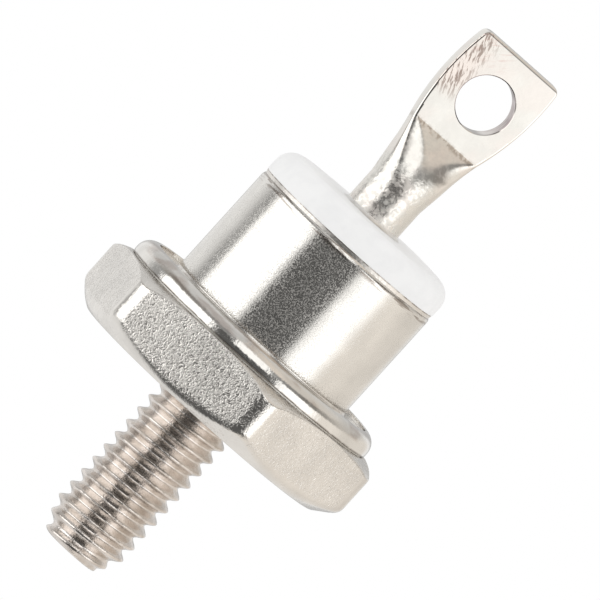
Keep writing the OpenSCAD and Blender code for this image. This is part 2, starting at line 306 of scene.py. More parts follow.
# Surroundings, by the angle from the camera to the right in degrees: brightness and tint.
NEUTRAL = (1.0, 0.995, 0.985)
WARM = (1.0, 0.945, 0.875)
TAN = (1.0, 0.905, 0.81)
WHITE = (1, 1, 1, 1)
BELT = [
    (-180, 0.55, NEUTRAL), (-171, 0.58, NEUTRAL), (-164, 0.95, NEUTRAL), (-147, 0.92, NEUTRAL),
    (-135, 1.0, NEUTRAL), (-122, 0.9, NEUTRAL), (-109, 0.4, NEUTRAL), (-98, 0.4, NEUTRAL),
    (-94, 1.75, NEUTRAL), (-38, 1.75, NEUTRAL), (-34, 0.98, NEUTRAL), (-30, 0.13, NEUTRAL),
    (0, 0.1, NEUTRAL), (26.5, 0.15, NEUTRAL), (30, 1.0, NEUTRAL), (32, 1.24, NEUTRAL), (42, 1.7, NEUTRAL),
    (62, 1.7, NEUTRAL), (76, 1.0, WARM), (94, 1.0, WARM), (115, 0.85, WARM), (150, 0.86, WARM),
    (164, 0.95, NEUTRAL), (171, 0.58, NEUTRAL), (180, 0.55, NEUTRAL),
]
SHADE = [
    (-180, 0.68, NEUTRAL), (-125, 0.66, NEUTRAL), (-100, 0.36, WARM), (-30, 0.35, NEUTRAL),
    (30, 0.35, NEUTRAL), (70, 0.3, WARM), (110, 0.65, WARM), (180, 0.68, NEUTRAL),
]
ROOF = [
    (-180, 0.8, NEUTRAL), (-100, 0.74, NEUTRAL), (-20, 0.66, NEUTRAL), (25, 0.9, TAN), (60, 0.78, WARM),
    (110, 0.81, WARM), (180, 0.8, NEUTRAL),
]
GROUND = [
    (-180, 0.93, NEUTRAL), (-80, 0.85, NEUTRAL), (-40, 0.12, NEUTRAL), (40, 0.12, NEUTRAL), (80, 0.95, WARM),
    (180, 0.93, NEUTRAL),
]
# Heights in degrees at which one row of lights gives way to the next, and the lamp above the camera.
SHADE_EDGE = (15, 25)
ROOF_EDGE = (34, 46)
GROUND_EDGE = (-26, -42)
LAMP_LEFT = (-17, -11)
LAMP_RIGHT = (23, 17)
LAMP_LOW = (3, 10)
LAMP_HIGH = (52, 42)
LAMP_LEVEL = 1.4
FILL_SHARE = 0.85


class Tree:
    """Short calls for building a node tree."""

    def __init__(self, owner):
        owner.use_nodes = True
        self.tree = owner.node_tree
        self.tree.nodes.clear()

    def add(self, kind, settings=(), **inputs):
        """A node with its settings; each input is a value or another node's output socket."""
        node = self.tree.nodes.new("ShaderNode" + kind)
        for key, value in dict(settings).items():
            setattr(node, key, value)
        for key, value in inputs.items():
            name = key.replace("_", " ")
            socket = node.inputs[int(name[1:])] if name[1:].isdigit() else node.inputs[name]
            if isinstance(value, bpy.types.NodeSocket):
                self.tree.links.new(value, socket)
            else:
                socket.default_value = value
        return node

    def math(self, operation, *values):
        inputs = {f"i{i}": v for i, v in enumerate(values)}
        return self.add("Math", {"operation": operation}, **inputs).outputs[0]

    def product(self, first, *others):
        """All the values multiplied."""
        result = first
        for other in others:
            result = self.math("MULTIPLY", result, other)
        return result

    def between(self, value, low, high, to_low=0.0, to_high=1.0):
        """Smooth step of value from low to high."""
        smooth = {"interpolation_type": "SMOOTHSTEP"}
        node = self.add("MapRange", smooth, Value=value, From_Min=low, From_Max=high, To_Min=to_low,
                        To_Max=to_high)
        return node.outputs["Result"]

    def rise(self, angle, edge):
        """Smooth step between two angles, which are in degrees."""
        return self.between(angle, *(math.radians(e) for e in edge))

    def ramp(self, value, stops):
        """Colour by position from 0 to 1."""
        node = self.add("ValToRGB", Fac=value)
        elements = node.color_ramp.elements
        while len(elements) < len(stops):
            elements.new(0.5)
        for element, (position, rgb) in zip(elements, stops):
            element.position = position
            element.color = colour(rgb)
        return node.outputs["Color"]

    def mix(self, factor, a, b):
        node = self.add("Mix", {"data_type": "RGBA"}, i0=factor, i6=a, i7=b)
        return node.outputs[2]

    def stain(self, tone, where, stain):
        """The tone with a stain over it, which is a share and a colour."""
        share, rgb = stain
        return self.mix(self.math("MULTIPLY", where, share), tone, colour(rgb))

    def place(self, stretch=(1, 1, 1), lean=0.0):
        """Position in the solids' frame, turned back by lean round Y and divided by stretch."""
        at = self.add("TexCoord").outputs["Object"]
        back = {"vector_type": "TEXTURE"}
        return self.add("Mapping", back, Vector=at, Rotation=(0, lean, 0), Scale=stretch).outputs["Vector"]

    def axes(self):
        """Coordinates X, Y and Z in the solids' frame."""
        return self.add("SeparateXYZ", Vector=self.place()).outputs

    def noise(self, place, size, detail=2.0, roughness=0.5, distortion=0.0):
        """Noise with features of about that size."""
        node = self.add("TexNoise", Vector=place, Scale=1 / size, Detail=detail, Roughness=roughness,
                        Distortion=distortion)
        return node.outputs["Fac"]

    def patches(self, kind, stretch=(1, 1, 1), lean=0.0, **texture):
        """Mask of noise patches, of a kind that gives their size and levels."""
        size, *levels = kind
        return self.between(self.noise(self.place(stretch, lean), size, **texture), *levels)

    def surface(self, **inputs):
        """Ends a material in a principled shader with those inputs."""
        shader = self.add("BsdfPrincipled", **inputs)
        self.add("OutputMaterial", Surface=shader.outputs["BSDF"])


def colour(rgb):
    return (*rgb, 1)


def shaded(rgb, share):
    return colour([share * c for c in rgb])


# Materials.
def plate(name, tint, smooth, dull, grain, slope, dress=None, curl=0.0):
    """Nickel plate: smooth metal with duller specks of the grain's size, which also tilt the reflections by
    that slope and are bent by that curl. Dress adds the piece's marks, painted shade and reflections among
    them, and says where the specks fade."""
    material = bpy.data.materials.new(name)
    tree = Tree(material)
    cloud = tree.patches(CLOUDS, detail=3)
    tone = tree.mix(cloud, *(shaded(tint, share) for share in CLOUD_TONES))
    grains = tree.noise(tree.place(), grain, detail=1, roughness=0.6, distortion=curl)
    rough = tree.between(grains, *GRAIN_LEVELS, smooth, dull)
    depth = 1.0
    if dress:
        tone, rough, depth = dress(tree, tone, rough)
    height = slope * grain / GRAIN_RISE
    bump = tree.add("Bump", Strength=depth, Distance=height, Height=grains).outputs["Normal"]
    tree.surface(Base_Color=tone, Metallic=1.0, Roughness=rough, Normal=bump)
    return material


def fine_scratches(tree):
    """Mask of thin lines that wander, in groups."""
    wander = tree.noise(tree.place(), SCRATCH_WANDER, detail=1, distortion=SCRATCH_CURL)
    off_line = tree.math("ABSOLUTE", tree.math("SUBTRACT", wander, 0.5))
    return tree.product(tree.between(off_line, *SCRATCH_LINE), tree.patches(SCRATCH_GROUPS))


def forging_wear(tree, tone, rough):
    """Corners and lower edges of the hexagon rubbed smooth, a few bright scratches, and thinner plate on the
    thread, which lets the copper's colour through and is a little duller."""
    x, y, z = tree.axes()
    from_corner = tree.math("ADD", tree.math("ARCTAN2", y, x), math.pi / 6)
    sixth = tree.math("FLOORED_MODULO", from_corner, math.pi / 3)
    from_flat = tree.math("ABSOLUTE", tree.math("SUBTRACT", sixth, math.pi / 6))
    polish = tree.math("MAXIMUM", tree.rise(from_flat, POLISH_ANGLE), tree.between(z, *POLISH_Z))
    depth = tree.math("MULTIPLY_ADD", polish, -POLISH_SHARE, 1.0)
    tone = tree.stain(tone, fine_scratches(tree), BRIGHT_SCRATCH)
    stud = tree.between(z, *THIN_PLATE_Z)
    thin = tree.mix(tree.patches(THIN_BLOTCHES), colour(THIN_PLATE_DARK), colour(THIN_PLATE_PALE))
    rough = tree.math("MULTIPLY_ADD", stud, THREAD_DULLER, tree.product(rough, depth))
    return tree.mix(stud, tone, thin), rough, depth


def lug_scratches(tree, tone, axes):
    """Worn plate beside the hole on the lug's front, with dark strokes, and paler strokes across them higher
    up."""
    x, y, z = axes
    front = tree.between(y, *FRONT_Y)
    worn = tree.product(tree.between(x, *WORN_X), tree.between(z, *WORN_Z), front)
    strokes = tree.patches(LUG_STROKES, LUG_STROKE_STRETCH, LUG_STROKE_LEAN, roughness=0.65)
    crossed = tree.product(tree.between(z, *CROSS_Z), front, tree.between(x, *CROSS_X))
    crossing = tree.patches(CROSS_STROKES, CROSS_STRETCH, CROSS_LEAN)
    tone = tree.stain(tone, worn, WORN_PLATE)
    tone = tree.stain(tone, tree.product(crossed, crossing), CROSS_SCRATCH)
    return tree.stain(tone, tree.product(worn, strokes), DARK_SCRATCH)


def crease_shade(tree, tone, axes):
    """Painted shade in specks along the concave crease under the lug."""
    away = tree.math("ABSOLUTE", tree.math("SUBTRACT", axes["Z"], CREASE_SHADE_Z))
    specks = tree.patches(CREASE_SPECKS, CREASE_STRETCH)
    return tree.stain(tone, tree.product(tree.between(away, *CREASE_SHADE_REACH), specks), CREASE_SHADE)


def hole_shade(tree, tone, axes):
    """Painted shade on the wall of the lug's hole: streaked, dark, and paler at its foot."""
    x, z = axes["X"], axes["Z"]
    at = tree.add("CombineXYZ", X=x, Z=z).outputs["Vector"]
    middle = (hole_at.x, 0, hole_at.z)
    out = tree.add("VectorMath", {"operation": "DISTANCE"}, i0=at, i1=middle).outputs["Value"]
    streaks = tree.patches(WALL_STREAKS, WALL_STRETCH)
    wall = tree.product(tree.between(out, *WALL_R), streaks, tree.between(z, *WALL_Z))
    return tree.stain(tone, wall, HOLE_SHADE)


def terminal_wear_and_shade(tree, tone, rough):
    """Blushes and scratches on the terminal, and painted shade along the crease and on the hole's wall. Its
    neck is smoother than the tube and its flat lug is smoother still."""
    axes = tree.axes()
    tone = tree.stain(tone, tree.patches(LUG_BLUSHES), LUG_BLUSH)
    tone = lug_scratches(tree, tone, axes)
    tone = crease_shade(tree, tone, axes)
    tone = hole_shade(tree, tone, axes)
    calm = tree.math("MULTIPLY_ADD", tree.between(axes["Z"], *LUG_Z), -LUG_CALM, 1.0)
    above_tube = tree.between(axes["Z"], *ABOVE_TUBE_Z)
    depth = tree.product(calm, tree.math("MULTIPLY_ADD", above_tube, -NECK_CALM, 1.0))
    rough = tree.product(rough, tree.math("MULTIPLY_ADD", above_tube, -NECK_SMOOTHER, TUBE_DULLER))
    return tone, tree.math("MULTIPLY_ADD", rough, calm, LUG_LEAST_ROUGH), depth


def ring_smears_and_shade(tree, tone, rough):
    """Brown smears over the ring's rounded edge, and painted shade in a dark line along its foot, where it
    meets the hexagon.
    """
    z = tree.axes()["Z"]
    smears = tree.patches(RING_SMEARS, RING_SMEAR_STRETCH, detail=3)
    foot = tree.between(z, *RING_FOOT_Z)
    tone = tree.stain(tone, tree.product(smears, tree.between(z, *RING_SMEAR_Z)), RING_SMEAR)
    tone = tree.stain(tone, tree.product(foot, tree.patches(RING_SPECKS, detail=3)), RING_FOOT_SHADE)
    return tone, rough, 1.0


def can_shade_and_reflection(tree, tone, rough):
    """Painted dark reflections in level strokes on the can's shoulder, below the braze, and painted shade in
    the corner at its foot.
    """
    x, y, z = tree.axes()
    across = tree.add("CombineXYZ", X=x, Y=y).outputs["Vector"]
    out = tree.add("VectorMath", {"operation": "LENGTH"}, i0=across).outputs["Value"]
    corner = tree.product(tree.between(out, *CAN_CORNER_R), tree.between(z, *CAN_CORNER_Z))
    strokes = tree.patches(CAN_SHOULDER_REFLECTIONS, CAN_SHOULDER_REFLECTION_STRETCH, detail=3)
    tone = tree.stain(tone, tree.product(tree.patches(CAN_SPECKS, detail=3), corner), CAN_CORNER_SHADE)
    tone = tree.stain(tone, tree.product(strokes, tree.between(z, *SHOULDER_Z)), CAN_SHOULDER_REFLECTION)
    return tone, rough, 1.0


def bead_edge_shade(tree, tone, rough):
    """Painted shade in a thin dark line where the bead meets the ceramic."""
    edge = tree.between(tree.axes()["Z"], *BEAD_EDGE_SHADE_Z)
    return tree.stain(tone, tree.product(edge, tree.patches(BEAD_SPECKS, detail=3)), BEAD_EDGE_SHADE), rough, 1.0


def ceramic(name):
    """Smooth white alumina with the faintest mottling."""
    material = bpy.data.materials.new(name)
    tree = Tree(material)
    mottle = tree.patches(CERAMIC_MOTTLES, detail=4)
    tone = tree.mix(mottle, colour(CERAMIC_DARK), colour(CERAMIC_PALE))
    grains = tree.noise(tree.place(), CERAMIC_GRAIN)
    bump = tree.add("Bump", Strength=1.0, Distance=CERAMIC_GRAIN_H, Height=grains).outputs["Normal"]
    tree.surface(Base_Color=tone, Roughness=CERAMIC_ROUGH, Normal=bump)
    return material


def inner(name, rgb, metallic, roughness):
    """Finish of a piece that is sealed inside: satin, with a slight unevenness."""
    material = bpy.data.materials.new(name)
    tree = Tree(material)
    cloud = tree.patches(INNER_CLOUDS, detail=3)
    tone = tree.mix(cloud, shaded(rgb, INNER_TONE), colour(rgb))
    rough = tree.between(cloud, 0, 1, roughness, INNER_DULLER * roughness)
    tree.surface(Base_Color=tone, Metallic=metallic, Roughness=rough)
    return material


# Mesh helpers.
def rounded_path(corners, steps=5):
    """Points (r, z) along the corners (r, z, radius), each corner with a radius turned into an arc."""
    points = []
    for i, (r, z, radius) in enumerate(corners):
        at = Vector((r, z))
        if not radius or i in (0, len(corners) - 1):
            points.append(at)
            continue
        back = Vector(corners[i - 1][:2]) - at
        ahead = Vector(corners[i + 1][:2]) - at
        half = back.angle(ahead) / 2
        reach = min(radius / math.tan(half), LONGEST_ARC * back.length, LONGEST_ARC * ahead.length)
        start = at + reach * back.normalized()
        end = at + reach * ahead.normalized()
        radius = reach * math.tan(half)
        centre = at + (back.normalized() + ahead.normalized()).normalized() * (radius / math.sin(half))
        sweep = (start - centre).angle_signed(end - centre)
        for step in range(steps + 1):
            turn = Matrix.Rotation(-sweep * step / steps, 2)
            points.append(centre + turn @ (start - centre))
    return points


def wobble(point, size, depth):
    """Smooth unevenness of about that size and depth."""
    return depth * noise.noise(point / size)


def skin(columns):
    """Vertices and faces of a sheet through columns that all have the same number of points."""
    rows = len(columns[0])
    verts = [p for column in columns for p in column]
    faces = [
        (c * rows + r, (c + 1) * rows + r, (c + 1) * rows + r + 1, c * rows + r + 1)
        for c in range(len(columns) - 1) for r in range(rows - 1)
    ]
    return verts, faces


def mesh_object(name, verts, faces):
    """A mesh in the scene."""
    mesh = bpy.data.meshes.new(name)
    mesh.from_pydata(verts, [], faces)
    obj = bpy.data.objects.new(name, mesh)
    bpy.context.scene.collection.objects.link(obj)
    return obj


def piece(name, node, slot, material, verts, faces, sharp=SHARP_ANGLE):
    """A closed mesh that stands for a CAD node and rides with it."""
    obj = mesh_object(name, verts, faces)
    obj.data.materials.append(material)
    tidy(obj.data, sharp)
    obj.modifiers.new("even_normals", "WEIGHTED_NORMAL").keep_sharp = True
    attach(obj, "root")
    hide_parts(node)
    return obj


def tidy(mesh, sharp):
    """Joins points that coincide, turns the faces outwards and shades smooth between the sharp edges."""
    bm = bmesh.new()
    bm.from_mesh(mesh)
    bmesh.ops.remove_doubles(bm, verts=bm.verts, dist=JOIN_DISTANCE)
    bmesh.ops.dissolve_degenerate(bm, edges=bm.edges, dist=JOIN_DISTANCE)
    bmesh.ops.recalc_face_normals(bm, faces=bm.faces)
    for face in bm.faces:
        face.smooth = True
    limit = math.radians(sharp)
    for edge in bm.edges:
        edge.smooth = edge.calc_face_angle(0) < limit
    bm.to_mesh(mesh)
    bm.free()


def shade_flat(obj, chosen):
    """Shades the faces that chosen picks out flat, so that they mirror as true planes."""
    for face in obj.data.polygons:
        if chosen(face):
            face.use_smooth = False


def turned(corners, uneven=0.0, size=1.0, steps=5):
    """Skin of a lathe-turned closed ring whose section has those corners, made uneven by up to that much, in
    waves of that size."""
    profile = rounded_path([*corners, corners[0]], steps)
    columns = []
    for c in range(LATHE_COLUMNS + 1):
        angle = 2 * math.pi * (c % LATHE_COLUMNS) / LATHE_COLUMNS
        out = Vector((math.cos(angle), math.sin(angle), 0.5))
        column = []
        for r, z in profile:
            point = Vector((r * math.cos(angle), r * math.sin(angle), z))
            column.append(point - out * (0.5 * uneven + wobble(point, size, 0.5 * uneven)))
        columns.append(column)
    return skin(columns)


# Forged base with its thread.
def soft_min(a, b, blend):
    """The lesser of two values, rounded where they cross."""
    overlap = max(blend - abs(a - b), 0) / blend
    return min(a, b) - overlap * overlap * blend / 4


def thread_radius(turn):
    """Radius of the thread, by the turns from a crest."""
    sharp_depth = THREAD_PITCH * math.sqrt(3) / 2
    from_crest = 1 - abs(2 * (turn % 1) - 1)
    sharp = STUD_R + sharp_depth / 8 - sharp_depth * from_crest
    crested = soft_min(sharp, STUD_R, THREAD_CREST_BLEND)
    return -soft_min(-crested, THREAD_DEPTH - STUD_R, THREAD_ROOT_BLEND)


def tip_radius(z):
    """Radius of the stud's lead-in taper, whose end is rounded."""
    up = z - STUD_TIP
    cone = STUD_TIP_R + (STUD_R - STUD_TIP_R) * min(1, up / STUD_TIP_LEN)
    left = max(0, STUD_TIP_EDGE_R - up)
    return cone - STUD_TIP_EDGE_R + math.sqrt(STUD_TIP_EDGE_R ** 2 - left ** 2)


def stud_column(angle, share):
    """Points up the stud at that angle; the rows follow the helix over one turn of shares, and end on the tip
    and the seat."""
    column = [(0, STUD_TIP)]
    turns = math.ceil(-STUD_TIP / THREAD_PITCH) + 2
    for row in range(turns * THREAD_STEPS + 1):
        z = STUD_TIP + THREAD_PITCH * (row / THREAD_STEPS - 1 + share)
        z = min(max(z, STUD_TIP), 0)
        turn = 0.5 + (z - STUD_TIP) / THREAD_PITCH - (angle - THREAD_START) / (2 * math.pi)
        depth = STUD_R - thread_radius(turn)
        on_taper = TIP_GROOVE_SHARE * min(1, (z - STUD_TIP) / TIP_GROOVE_FADE)
        column.append((min(STUD_R - depth, tip_radius(z) - on_taper * depth), z))
    return column


def hexagon_outline():
    """(angle, radius) round the hexagon, with more points round its corners; one corner is on +Y, and the
    flats are slightly crowned."""
    centre = (HEX_FLAT - HEX_CORNER_R) / math.cos(math.pi / 6)
    sixth = []
    for step in range(CORNER_STEPS + 1):
        a = math.pi / 6 * (2 * step / CORNER_STEPS - 1)
        sixth.append(Vector((centre + HEX_CORNER_R * math.cos(a), HEX_CORNER_R * math.sin(a))))
    start = sixth[-1]
    end = Matrix.Rotation(math.pi / 3, 2) @ sixth[0]
    sixth += [start.lerp(end, step / FLAT_STEPS) for step in range(1, FLAT_STEPS)]
    outline = []
    for side in range(6):
        for point in sixth:
            angle = math.atan2(point.y, point.x) + math.pi / 2 + side * math.pi / 3
            from_flat = (angle + math.pi / 6) % (math.pi / 3) - math.pi / 6
            outline.append((angle, point.length * (1 - FLAT_CROWN * from_flat ** 2)))
    outline.append((outline[0][0] + 2 * math.pi, outline[0][1]))
    return outline


def crown_height(r):
    """Height of the hexagon's upper chamfer, which swells on a circle through its two edges."""
    top = Vector((CROWN_R, HEX_TOP))
    reach = 2 * HEX_FLAT / math.sqrt(3)
    low = Vector((reach, HEX_TOP - (reach - CROWN_R) * math.tan(CROWN_ANGLE)))
    sink = math.sqrt(CROWN_SWELL_R ** 2 - (low - top).length_squared / 4)
    centre = (top + low) / 2 - sink * Vector((math.sin(CROWN_ANGLE), math.cos(CROWN_ANGLE)))
    return centre.y + math.sqrt(CROWN_SWELL_R ** 2 - (r - centre.x) ** 2)


def hexagon_column(reach):
    """Section of the hexagon from the seat up to the pedestal, where its side is that far out."""
    low = (reach - SEAT_R) * math.tan(SEAT_ANGLE)
    high = crown_height(reach)
    side = [(reach, low + (high - low) * (i + 1) / SIDE_ROWS, 0) for i in range(SIDE_ROWS - 1)]
    crown = [reach + (CROWN_R - reach) * i / CROWN_STEPS for i in range(1, CROWN_STEPS)]
    corners = [
        (SEAT_INNER_R, 0, 0), (SEAT_R, 0, HEX_EDGE_R), (reach, low, HEX_LOW_EDGE_R), *side,
        (reach, high, HEX_EDGE_R), *[(r, crown_height(r), 0) for r in crown],
        (CROWN_R, HEX_TOP, HEX_EDGE_R), (PEDESTAL_R, HEX_TOP, 0), (PEDESTAL_R, PEDESTAL_TOP, 0),
        (0, PEDESTAL_TOP, 0),
    ]
    return rounded_path(corners, HEX_EDGE_STEPS)


def forged_base(material):
    """Hexagon and threaded stud in one skin."""
    columns = []
    outline = hexagon_outline()
    for angle, reach in outline:
        share = (angle - outline[0][0]) / (2 * math.pi)
        out = Vector((math.cos(angle), math.sin(angle), 0))
        column = []
        for r, z in stud_column(angle, share):
            point = out * r + Vector((0, 0, z))
            if STUD_TIP < z < 0:
                point -= out * (THREAD_UNEVEN + wobble(point, THREAD_UNEVEN_SIZE, THREAD_UNEVEN))
            column.append(point)
        for r, z in hexagon_column(reach):
            point = out * r + Vector((0, 0, z))
            if r > CROWN_R and z < HEX_TOP:
                point -= out * (HEX_UNEVEN + wobble(point, HEX_UNEVEN_SIZE, HEX_UNEVEN))
            column.append(point)
        columns.append(column)
    obj = piece("hexagon_and_stud", "stud_base", "nickel_base", material, *skin(columns))
    shade_flat(obj, lambda face: face.normal.z < -SEAT_FACING)


# Turned pieces.
def weld_ring(material):
    """Ring with a rounded outer edge, and a lip round the can's flange."""
    floor = shell_low.z
    corners = [
        (RING_BORE_R, ring_low.z, 0), (RING_R, ring_low.z, RING_FOOT_R), (RING_R, ring_high.z, RING_EDGE_R),
        (LIP_R, ring_high.z, LIP_EDGE_R), (LIP_R, floor, 0), (RING_BORE_R, floor, 0),
    ]
    made = turned(corners, RING_UNEVEN, RING_UNEVEN_SIZE, steps=10)
    piece("weld_ring_bead", "weld_ring", "nickel_ring", material, *made)


def can(material):
    """Drawn can with a flange at its foot."""
    low, high = shell_low.z, shell_high.z
    inside = CAN_R - CAN_WALL
    corners = [
        (inside, low, 0), (FLANGE_R, low, 0), (FLANGE_R, FLANGE_TOP, FLANGE_EDGE_R),
        (CAN_R, FLANGE_TOP, CAN_FOOT_R), (CAN_R, high, CAN_EDGE_R), (CAN_MOUTH_R, high, 0),
        (CAN_MOUTH_R, high - CAN_WALL, 0), (inside, high - CAN_WALL, 0),
    ]
    piece("drawn_can", "shell", "nickel_shell", material, *turned(corners, steps=8))


def braze_bead(material):
    """Braze between the can and the ceramic, drawn out to a bead over the can's rounded edge."""
    low, high = shell_high.z, ceramic_low.z
    edge = CAN_R - CAN_EDGE_R
    slope = [math.radians(BEAD_ANGLE * i / BEAD_STEPS) for i in range(BEAD_STEPS + 1)]
    over_edge = [(edge + CAN_EDGE_R * math.sin(a), low - CAN_EDGE_R * (1 - math.cos(a)), 0) for a in slope]
    reach = over_edge[-1][0]
    corners = [(CAN_MOUTH_R, low, 0), *over_edge, (reach + BEAD_SWELL, high, 0), (CAN_MOUTH_R, high, 0)]
    piece("braze_bead", "insulator_braze", "braze", material, *turned(corners))


def ceramic_disc(material):
    """Ceramic with a rounded shoulder."""
    low, high = ceramic_low.z, ceramic_high.z
    corners = [
        (TUBE_HOLE_R, low, 0), (CERAMIC_R, low, CERAMIC_FOOT_R), (CERAMIC_R, high, CERAMIC_EDGE_R),
        (TUBE_HOLE_R, high, 0),
    ]
    made = turned(corners, CERAMIC_UNEVEN, CERAMIC_UNEVEN_SIZE, steps=10)
    piece("ceramic_disc", "insulator", "white_ceramic", material, *made)


def seal(material):
    """Hollow fillet of braze round the tube's foot."""
    low, high = seal_low.z, seal_high.z
    foot = seal_high.x
    hollow_r = TUBE_HOLE_R + SEAL_HOLLOW_OUT * (foot - TUBE_HOLE_R)
    hollow = (hollow_r, low + SEAL_HOLLOW_UP * (high - low), SEAL_HOLLOW_R)
    corners = [(TUBE_HOLE_R, low, 0), (foot, low, 0), hollow, (TUBE_HOLE_R, high, 0)]
    made = turned(corners, SEAL_UNEVEN, SEAL_UNEVEN_SIZE)
    piece("seal_fillet", "terminal_seal", "braze", material, *made)


# Terminal.
def section(half_w, half_t, z, x=0.0):
    """Ring of points, along the front from +X to -X and back along the rear; half_t gives half the thickness
    by the distance from the middle. The points are closer together at the sides."""
    across = [half_w * math.cos(math.pi * i / ACROSS_STEPS) for i in range(ACROSS_STEPS + 1)]
    front = [Vector((x + dx, -half_t(abs(dx)), z)) for dx in across]
    return front + [Vector((p.x, -p.y, z)) for p in reversed(front)]


def slab(half_w, half_t, radius):
    """Half thickness of a rectangle with rounded corners, by the distance from its middle."""
    def half(dx):
        over = max(0, dx - half_w + radius)
        return half_t - radius + math.sqrt(max(0, radius ** 2 - over ** 2))

    return half


def lug_half_width(h):
    """Half the lug's width at that height above the crease: a barrel-shaped side that ends in a rounded
    corner."""
    side_x = LUG_HALF_W - LUG_SIDE_R
    corner_h = LUG_LEN - LUG_CORNER_R
    rise = corner_h - LUG_BELLY
    corner_x = side_x + math.sqrt((LUG_SIDE_R - LUG_CORNER_R) ** 2 - rise ** 2)
    if h < LUG_BELLY + rise * LUG_SIDE_R / (LUG_SIDE_R - LUG_CORNER_R):
        return side_x + math.sqrt(LUG_SIDE_R ** 2 - (h - LUG_BELLY) ** 2)
    return corner_x + math.sqrt(max(0, LUG_CORNER_R ** 2 - (h - corner_h) ** 2))


def lug_section(h):
    """Section of the lug at that height above the crease: its side edges get crisper up the lug, and its end
    is rounded."""
    half_w = lug_half_width(h)
    over = max(0, h - LUG_LEN + LUG_TOP_R)
    half_t = LUG_HALF_T - LUG_TOP_R + math.sqrt(LUG_TOP_R ** 2 - over ** 2)
    edge_r = LUG_EDGE_R + (LUG_RIM_R - LUG_EDGE_R) * min(1, h / LUG_RIM_H)
    return section(half_w, slab(half_w, half_t, edge_r), CREASE_Z + h, h * LUG_LEAN)


def neck_section(share):
    """Section of the neck at that share of the way down from the crease to the round tube: a flat facet in
    the middle, a shoulder that turns slowly away from it, and a rounded edge that grows into the tube's
    side."""
    below = share * NECK_LEN
    half_w = TUBE_R + (lug_half_width(0) - TUBE_R) * (1 - share) ** NECK_WIDTH_POWER
    front = soft_min(LUG_HALF_T + FACET_SLOPE * below, TUBE_R, NECK_BLEND)
    facet = FACET_HALF_W * max(0, 1 - below / FACET_LEN) ** FACET_POWER
    radius = LUG_EDGE_R + (TUBE_R - LUG_EDGE_R) * share ** NECK_EDGE_POWER
    shoulder = max(half_w - radius * (1 - math.sin(NECK_TURN)) - facet, LEAST_SHOULDER)
    bend = math.tan(NECK_TURN) / shoulder
    edge_y = front - bend * shoulder ** 2 / 2 - radius * math.cos(NECK_TURN)

    def half(dx):
        if dx < facet + shoulder:
            return front - bend * max(0, dx - facet) ** 2 / 2
        return max(0, edge_y + math.sqrt(max(0, radius ** 2 - (dx - half_w + radius) ** 2)))

    return section(half_w, half, CREASE_Z - below)


def terminal_sections():
    """Sections up the round tube, the neck and the lug to its end."""
    shares = [1 - i / NECK_STEPS for i in range(NECK_STEPS)] + [NECK_LAST_SHARE]
    neck = [neck_section(share) for share in shares]
    bottom = [Vector((p.x, p.y, terminal_low.z)) for p in neck[0]]
    end_start = LUG_LEN - LUG_CORNER_R
    quarter = [math.pi / 2 * i / LUG_END_STEPS for i in range(LUG_END_STEPS + 1)]
    heights = [end_start * i / LUG_STEPS for i in range(LUG_STEPS)]
    heights += [end_start + LUG_CORNER_R * math.sin(a) for a in quarter]
    return [bottom, *neck, *[lug_section(h) for h in heights]]


def lug_end_cap(rim):
    """Rows across the lug's end, from its front to its back, with the seam of the pressed tube between."""
    half = len(rim) // 2
    columns = []
    for front, back in zip(rim[:half], reversed(rim[half:])):
        seam = [Vector((back.x, y, back.z)) for y in (-SEAM_HALF_W, SEAM_HALF_W)]
        deep = Vector((back.x, 0, back.z - SEAM_DEPTH))
        columns.append([front, seam[0], deep, seam[1], back])
    return columns


def bit_profile():
    """(radius, y) along the drill bit, flared where it meets the lug's faces so that the hole's edges are
    rounded."""
    flare = []
    for step in range(HOLE_EDGE_STEPS + 1):
        a = math.pi / 2 * step / HOLE_EDGE_STEPS
        flare.append((HOLE_R + HOLE_EDGE_R * (1 - math.sin(a)), LUG_HALF_T - HOLE_EDGE_R * math.sin(a)))
    wide = HOLE_R + HOLE_EDGE_R
    front = [(wide, -2 * LUG_HALF_T), *[(r, -y) for r, y in flare]]
    return front + [(r, -y) for r, y in reversed(front)]


def drill_bit(at):
    """Cutter for a round hole along Y."""
    profile = bit_profile()
    start, end = (at + Vector((0, y, 0)) for y in (profile[0][1], profile[-1][1]))
    columns = []
    for c in range(HOLE_COLUMNS + 1):
        angle = 2 * math.pi * (c % HOLE_COLUMNS) / HOLE_COLUMNS
        out = Vector((math.cos(angle), 0, math.sin(angle)))
        columns.append([start, *[at + out * r + Vector((0, y, 0)) for r, y in profile], end])
    cutter = mesh_object("drill_bit", *skin(columns))
    tidy(cutter.data, BIT_SHARP_ANGLE)
    return cutter


def drill(obj, at):
    """Cuts the lug's hole."""
    cutter = drill_bit(at)
    cut = obj.modifiers.new("hole", "BOOLEAN")
    cut.object = cutter
    cut.solver = "EXACT"
    graph = bpy.context.evaluated_depsgraph_get()
    drilled = bpy.data.meshes.new_from_object(obj.evaluated_get(graph))
    obj.modifiers.remove(cut)
    bpy.data.objects.remove(cutter)
    obj.data = drilled


